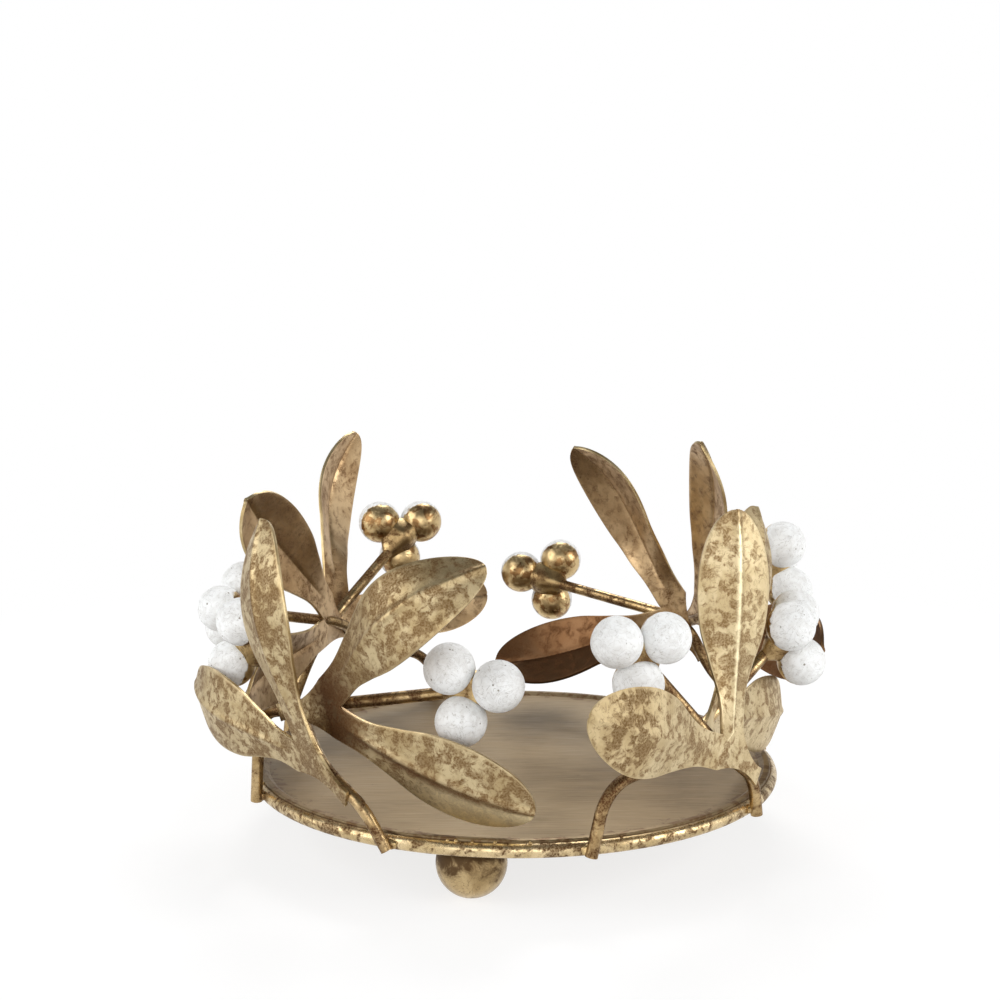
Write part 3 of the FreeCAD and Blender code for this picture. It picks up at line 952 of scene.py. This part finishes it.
@dataclass
class LeafPair(SprayPart):
    """Stamped sheet with two spoon-shaped leaves, folded along their veins, and a tab."""

    leaf_length: float = 0.055
    leaf_width: float = 0.019
    leaf_neck: float = 0.008
    sheet_thickness: float = 0.0008
    vein_fold: float = 0.0022
    vein_round: float = 0.02
    ridge_share: float = 0.9
    crown_share: float = 0.1
    rib_rise: float = 0.00032
    rib_reach: float = 0.0007
    tab_length: float = 0.012
    tab_end: float = 0.0042
    tab_sag_share: float = 0.12
    tab_steps: int = 12
    edge_round: float = 0.00018
    edge_segments: int = 2
    edge_angle: float = 55
    rows: int = 48
    columns: int = 22
    column_spread: float = 1.35
    widest_share: float = 0.64
    straight_rows_share: float = 0.6
    last_angle: float = 86.5
    bow_scale: float = 6.75
    rubbed_pairs: tuple[int, ...] = (1, 2, 6, 7)
    turn_share: float = 0.45
    fold_share: float = 0.3
    wear: LeafPaintedLightAndWear = LeafPaintedLightAndWear()
    growth: tuple[tuple[float, float], ...] = (
        (0.0, 0.0), (0.16, 0.04), (0.32, 0.42), (0.47, 0.84), (0.64, 1.0), (0.80, 0.86))

    def __post_init__(self) -> None:
        """Works out the fork's place and axes."""
        self.fork: Vector = self.ring.spot(self.half.fork)
        self.up_axis: Vector = aim(self.half.up.heading, self.half.up.climb)
        self.low_axis: Vector = aim(self.half.low.heading, self.half.low.climb)
        self.facing: Vector = self.low_axis.cross(self.up_axis).normalized()
        if self.facing.dot(aim(self.half.fork.azimuth, 0)) < 0:
            self.facing = -self.facing
        setback = (self.ring.stem_wire + self.sheet_thickness) / 2 - self.ring.solder_seat
        fork_back = self.fork - self.facing * setback
        run = self.ring.spot(self.half.bend) - fork_back
        self.tab_axis: Vector = square_to(run, self.facing)
        half_opening = self.up_axis.angle(self.low_axis) / 2
        self.neck_reach: float = self.leaf_neck / 2 / math.tan(half_opening)

    def growth_at(self, share: float) -> float:
        """Growth of the half width before the widest place, along a smooth curve.

        Args:
            share: Share of the leaf's length.

        Returns:
            0 at the neck, 1 at full width.
        """
        points = self.growth
        index = 0
        while index < len(points) - 3 and share > points[index + 1][0]:
            index += 1
        (x1, y1), (x2, y2) = points[index], points[index + 1]
        x0, y0 = points[index - 1] if index else (2 * x1 - x2, y1)
        x3, y3 = points[index + 2]
        step = x2 - x1
        part = (share - x1) / step
        slope_in = (y2 - y0) / (x2 - x0) * step
        slope_out = (y3 - y1) / (x3 - x1) * step
        if x2 == self.widest_share:
            slope_out = 0.0
        square, cube = part ** 2, part ** 3
        return (y1 * (2 * cube - 3 * square + 1) + slope_in * (cube - 2 * square + part)
                + y2 * (3 * square - 2 * cube) + slope_out * (cube - square))

    def outline(self, row: float) -> tuple[float, float]:
        """Place along a leaf and its half width there.

        Args:
            row: Share of the rows, 0 at the neck.

        Returns:
            Share of the length, and the half width.
        """
        if row <= self.straight_rows_share:
            along = self.widest_share * row / self.straight_rows_share
            growth = self.growth_at(along)
            return along, (self.leaf_neck + (self.leaf_width - self.leaf_neck) * growth) / 2
        part = (row - self.straight_rows_share) / (1 - self.straight_rows_share)
        angle = math.radians(self.last_angle * part)
        along = self.widest_share + (1 - self.widest_share) * math.sin(angle)
        return along, self.leaf_width / 2 * math.cos(angle)

    def blade(self, bm: BMesh, lie: LeafLie) -> None:
        """Adds the middle sheet of one leaf.

        Args:
            bm: Mesh with the leaf's layers.
            lie: Lie of the leaf.
        """
        axis = aim(lie.heading, lie.climb)
        bow_normal = Matrix.Rotation(math.radians(lie.turn), 3, axis) @ self.facing
        root = self.fork + axis * self.neck_reach
        length = self.leaf_length - self.neck_reach
        layers = [bm.verts.layers.float[name] for name in LEAF_LAYERS]
        grid = bmesh.ops.create_grid(bm, x_segments=self.rows, y_segments=self.columns, size=1.0)
        verts = grid["verts"]
        faces = {face for vert in verts for face in vert.link_faces}
        for vert in verts:
            along, half_width = self.outline((vert.co.x + 1) / 2)
            across = math.copysign(abs(vert.co.y) ** self.column_spread, vert.co.y)
            bow = lie.bow_share * self.bow_scale
            lift = bow * along ** 2 * (1 - along) - lie.curl_share * along ** 3
            slope = bow * (2 * along - 3 * along ** 2) - lie.curl_share * 3 * along ** 2
            centre = root + (axis * along + bow_normal * lift) * length
            tangent = (axis + bow_normal * slope).normalized()
            turn = math.radians(lie.turn * smooth(along / self.turn_share))
            normal = square_to(Matrix.Rotation(turn, 3, axis) @ self.facing, tangent)
            side = tangent.cross(normal)
            width_share = half_width / (self.leaf_width / 2)
            fold = self.vein_fold * width_share * smooth(along / self.fold_share)
            ridge = math.hypot(across, self.vein_round) - self.vein_round
            drop = fold * (self.ridge_share * ridge + self.crown_share * across ** 2)
            rib = across * half_width / self.rib_reach
            drop -= self.rib_rise * smooth(along / self.fold_share) * math.exp(-rib * rib)
            vert.co = centre + side * half_width * across - normal * drop
            wear, browned = self.wear.at(lie.wear, along, across)
            for layer, value in zip(layers, (along, across, wear, browned)):
                vert[layer] = value
        bm.normal_update()
        if sum(face.normal.dot(self.facing) * face.calc_area() for face in faces) < 0:
            bmesh.ops.reverse_faces(bm, faces=list(faces))

    def root_row(self, bm: BMesh, axis: Vector, away: Vector) -> list[BMVert]:
        """Vertices where a leaf starts, in order from the notch outwards.

        Args:
            bm: Mesh with both leaves.
            axis: Axis of the leaf.
            away: Direction from the notch across the leaf.

        Returns:
            The vertices.
        """
        layer = bm.verts.layers.float["along"]
        row = []
        for vert in bm.verts:
            offset = vert.co - self.fork - axis * self.neck_reach
            if (vert[layer] < NEAR and abs(offset.dot(axis)) < NEAR
                    and abs(offset.dot(away)) < self.leaf_neck / 2 + NEAR):
                row.append(vert)
        return sorted(row, key=lambda vert: vert.co.dot(away))

    def hollow_side(self, bm: BMesh, start: Vector, end: Vector, inward: Vector) -> list[BMVert]:
        """Vertices between two corners, drawn in towards the middle of the sheet.

        Args:
            bm: Mesh that they go in.
            start: First corner, which gets no vertex.
            end: Last corner, which gets one.
            inward: Direction in which the side is drawn in.

        Returns:
            The new vertices.
        """
        sag = (end - start).length * self.tab_sag_share
        row = []
        for step in range(1, self.tab_steps + 1):
            part = step / self.tab_steps
            point = start.lerp(end, part) + inward * sag * 4 * part * (1 - part)
            row.append(bm.verts.new(point))
        return row

    def fork_sheet(self, bm: BMesh) -> None:
        """Adds the flat middle with the notch and the tab.

        Args:
            bm: Mesh with both leaves.
        """
        up_side = square_to(self.up_axis - self.low_axis, self.up_axis)
        low_side = square_to(self.low_axis - self.up_axis, self.low_axis)
        tab_side = square_to(self.up_axis - self.low_axis, self.tab_axis)
        up_row = self.root_row(bm, self.up_axis, up_side)
        low_row = self.root_row(bm, self.low_axis, low_side)
        tab_foot = self.fork + self.tab_axis * self.tab_length
        tab_up = tab_foot + tab_side * self.tab_end / 2
        tab_low = tab_foot - tab_side * self.tab_end / 2
        up_arc = self.hollow_side(bm, up_row[-1].co.copy(), tab_up, -tab_side)
        low_arc = self.hollow_side(bm, low_row[-1].co.copy(), tab_low, tab_side)
        loop = up_row + up_arc + low_arc[::-1] + low_row[:0:-1]
        face = bm.faces.new(loop)
        face.normal_update()
        if face.normal.dot(self.facing) < 0:
            face.normal_flip()

    def build(self) -> None:
        """Builds the pair, which stands for its CAD node."""
        bm = bmesh.new()
        for layer in LEAF_LAYERS:
            bm.verts.layers.float.new(layer)
        self.blade(bm, self.half.up)
        self.blade(bm, self.half.low)
        bmesh.ops.remove_doubles(bm, verts=bm.verts[:], dist=WELD)
        self.fork_sheet(bm)
        for face in bm.faces:
            face.smooth = True
        name = "leaf_pair_%d" % self.number
        outside = self.finishes.leaf_outside
        if self.number in self.rubbed_pairs:
            outside = self.finishes.leaf_outside_rubbed
        materials = [outside, self.finishes.leaf_inside, self.finishes.cut_edge]
        piece = finished(bm, name + "_dressed", materials, name)
        wall = piece.modifiers.new("sheet_wall", "SOLIDIFY")
        wall.thickness = self.sheet_thickness
        wall.offset = 0.0
        wall.use_even_offset = True
        wall.material_offset = 1
        wall.material_offset_rim = 2
        rounding = piece.modifiers.new("cut_edge_round", "BEVEL")
        rounding.width = self.edge_round
        rounding.segments = self.edge_segments
        rounding.limit_method = "ANGLE"
        rounding.angle_limit = math.radians(self.edge_angle)


@dataclass
class BerryCluster(SprayPart):
    """Three painted balls on the end of their wire, held by solder."""

    berry_setback: float = 0.0036
    hub_radius: float = 0.0036
    gusset_reach: float = 0.0042
    gusset_radius: float = 0.0029
    throat_reach: float = 0.0062
    throat_share: float = 0.53
    smoothings: int = 3
    unevenness: float = 0.012
    uneven_scale: float = 260.0

    def __post_init__(self) -> None:
        """Works out where the berries face and where their solder hub is."""
        lie = self.half.cluster
        self.outward: Vector = aim(lie.heading, lie.climb)
        self.hub: Vector = self.ring.spot(lie.middle) - self.outward * self.berry_setback
        self.painted_way: Vector = aim(lie.paint, lie.climb)
        self.wire_way: Vector = (self.hub - self.ring.spot(self.half.last)).normalized()

    def berry(self, name: str) -> Vector:
        """Builds one berry.

        Args:
            name: Its CAD node.

        Returns:
            Its middle.
        """
        low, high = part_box(name)
        centre = (low + high) / 2
        radius = max(high - low) / 2
        bm = bmesh.new()
        layer = bm.verts.layers.float.new("outward")
        bmesh.ops.create_icosphere(bm, subdivisions=4, radius=radius,
                                   matrix=Matrix.Translation(centre))
        for vert in bm.verts:
            way = (vert.co - centre).normalized()
            vert[layer] = way.dot(self.painted_way)
            dent = self.unevenness * (0.5 + noise.noise(vert.co * self.uneven_scale))
            vert.co = centre + way * radius * (1 - dent)
        soften(bm)
        finished(bm, name + "_dressed", [self.finishes.berry], name)
        return centre

    def solder_hub(self, middles: list[Vector]) -> None:
        """Builds the gusset of solder between the berries.

        Args:
            middles: Middles of the berries.
        """
        bm = bmesh.new()
        spots = [(self.hub + (middle - self.hub).normalized() * self.gusset_reach,
                  self.gusset_radius) for middle in middles]
        spots.append((self.hub, self.hub_radius))
        spots.append((self.hub - self.wire_way * self.throat_reach,
                      self.ring.stem_wire * self.throat_share))
        for centre, radius in spots:
            bmesh.ops.create_icosphere(bm, subdivisions=3, radius=radius,
                                       matrix=Matrix.Translation(centre))
        bmesh.ops.delete(bm, geom=bm.edges[:], context="EDGES_FACES")
        hull = bmesh.ops.convex_hull(bm, input=bm.verts[:])
        inside = [item for item in hull["geom_interior"] + hull["geom_unused"]
                  if isinstance(item, BMVert)]
        bmesh.ops.delete(bm, geom=list(set(inside)), context="VERTS")
        bmesh.ops.subdivide_edges(bm, edges=bm.edges[:], cuts=1, use_grid_fill=True)
        for _ in range(self.smoothings):
            bmesh.ops.smooth_vert(bm, verts=bm.verts[:], factor=0.5, use_axis_x=True,
                                  use_axis_y=True, use_axis_z=True)
        bmesh.ops.recalc_face_normals(bm, faces=bm.faces[:])
        soften(bm)
        finished(bm, "berry_solder_%d" % self.number, [self.finishes.solder])

    def build(self) -> None:
        """Builds the three berries and their solder."""
        middles = [self.berry("berry_%d_%d" % (self.number, index)) for index in (1, 2, 3)]
        self.solder_hub(middles)


@dataclass
class Spray(SprayPart):
    """One half spray: wire, leaf pair and berries."""

    nodes: dict[str, bpy.types.Object]

    def build(self) -> None:
        """Builds its pieces."""
        dress_copy(self.nodes["stem_wire_%d" % self.number], self.finishes.wire)
        LeafPair(self.ring, self.finishes, self.number, self.half).build()
        BerryCluster(self.ring, self.finishes, self.number, self.half).build()


# Studio


@dataclass(frozen=True)
class Lamp:
    """Soft square lamp: its place, side, power and the point that it is aimed at."""

    name: str
    place: Triple
    side: float
    power: float
    target: Triple = (0.0, 0.0, 0.02)

    def build(self) -> None:
        """Puts the lamp in the scene."""
        data = bpy.data.lights.new(self.name, "AREA")
        data.shape = "SQUARE"
        data.size = self.side
        data.energy = self.power
        lamp = placed(self.name, data)
        lamp.location = self.place
        way = Vector(self.target) - Vector(self.place)
        lamp.rotation_euler = way.to_track_quat("-Z", "Y").to_euler()


@dataclass
class Studio:
    """Pale floor, white surroundings, soft lamps and the camera."""

    floor_radius: float = 2.5
    floor_segments: int = 96
    floor_colour: Triple = (0.8, 0.8, 0.8)
    seen_colour: Triple = (0.30, 0.30, 0.30)
    seen_glow: float = 0.75
    shadow_reach: float = 0.12
    white_reach: float = 0.32
    world_light: Step = Step(0.20, 0.60, 1.0, 0.12)
    camera_place: Triple = (-0.00352, -0.41893, 0.12634)
    camera_pitch: float = 8.31
    camera_lens: float = 62.26
    camera_sensor: float = 36.0
    camera_clip: float = 0.01
    lamps: tuple[Lamp, ...] = (
        Lamp("left_lamp", (-0.85, -0.30, 0.50), 0.80, 4.8),
        Lamp("right_lamp", (0.85, -0.35, 0.42), 0.60, 4.7),
        Lamp("back_lamp", (0.05, 0.65, 0.75), 0.42, 4.0),
        Lamp("front_lamp", (-0.10, -1.10, 0.30), 0.80, 3.2))

    def floor_material(self) -> Material:
        """Plain floor for the light that falls on the part, and a white one where it is seen.

        The seen floor keeps the part's shadow and turns to pure white further out.

        Returns:
            The finished material.
        """
        sheet = NodeSheet(bpy.data.materials.new("pale_floor"))
        plain = sheet.shader("ShaderNodeBsdfDiffuse", Color=self.floor_colour)
        shaded = sheet.shader("ShaderNodeBsdfDiffuse", Color=self.seen_colour)
        glow = sheet.shader("ShaderNodeEmission", Strength=self.seen_glow)
        near = sheet.add("ShaderNodeAddShader", shaded, glow).outputs[0]
        white = sheet.shader("ShaderNodeEmission")
        reach = sheet.length(sheet.coords)
        spread = sheet.add("ShaderNodeMapRange", reach, self.shadow_reach, self.white_reach)
        shown = sheet.add("ShaderNodeMixShader", spread.outputs[0], near, white).outputs[0]
        rays = sheet.add("ShaderNodeLightPath").outputs
        seen = sheet.most(rays["Is Camera Ray"], rays["Is Glossy Ray"])
        seen = sheet.most(seen, rays["Is Transmission Ray"])
        return sheet.closed(sheet.add("ShaderNodeMixShader", seen, plain, shown).outputs[0])

    def floor(self) -> None:
        """Builds the floor under the feet."""
        low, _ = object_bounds()
        bm = bmesh.new()
        bmesh.ops.create_circle(bm, cap_ends=True, segments=self.floor_segments,
                                radius=self.floor_radius,
                                matrix=Matrix.Translation((0, 0, low[2])))
        floor = placed("floor", used_up(bm, "floor"))
        floor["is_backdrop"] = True
        floor.data.materials.append(self.floor_material())

    def world(self) -> None:
        """White band all round, which is the background too, and a dimmer top."""
        sheet = NodeSheet(bpy.data.worlds.new("white_studio"), "Generated")
        light = sheet.shader("ShaderNodeBackground", Color=(1.0, 1.0, 1.0),
                             Strength=sheet.step(sheet.height(), self.world_light))
        bpy.context.scene.world = sheet.closed(light, "ShaderNodeOutputWorld")

    def camera(self) -> None:
        """Sets up the camera."""
        data = bpy.data.cameras.new("photo_camera")
        data.lens = self.camera_lens
        data.sensor_width = self.camera_sensor
        data.clip_start = self.camera_clip
        camera = placed("photo_camera", data)
        camera.location = self.camera_place
        camera.rotation_euler = (math.radians(90 - self.camera_pitch), 0.0, 0.0)
        bpy.context.scene.camera = camera

    def build(self) -> None:
        """Builds the studio."""
        self.floor()
        self.world()
        for lamp in self.lamps:
            lamp.build()
        self.camera()
        bpy.context.scene.view_settings.view_transform = "Standard"


def main() -> None:
    """Builds the dressed part and its studio."""
    logging.basicConfig(level=logging.INFO, format="%(name)s: %(message)s")
    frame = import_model()
    ring = Ring()
    finishes = Workshop()
    PlateAndHoop(frame["nodes"], finishes).build()
    Solder(ring, finishes).build()
    for number, half in enumerate(HALF_SPRAYS, start=1):
        Spray(ring, finishes, number, half, frame["nodes"]).build()
    Studio().build()


if __name__ == "__main__":
    main()
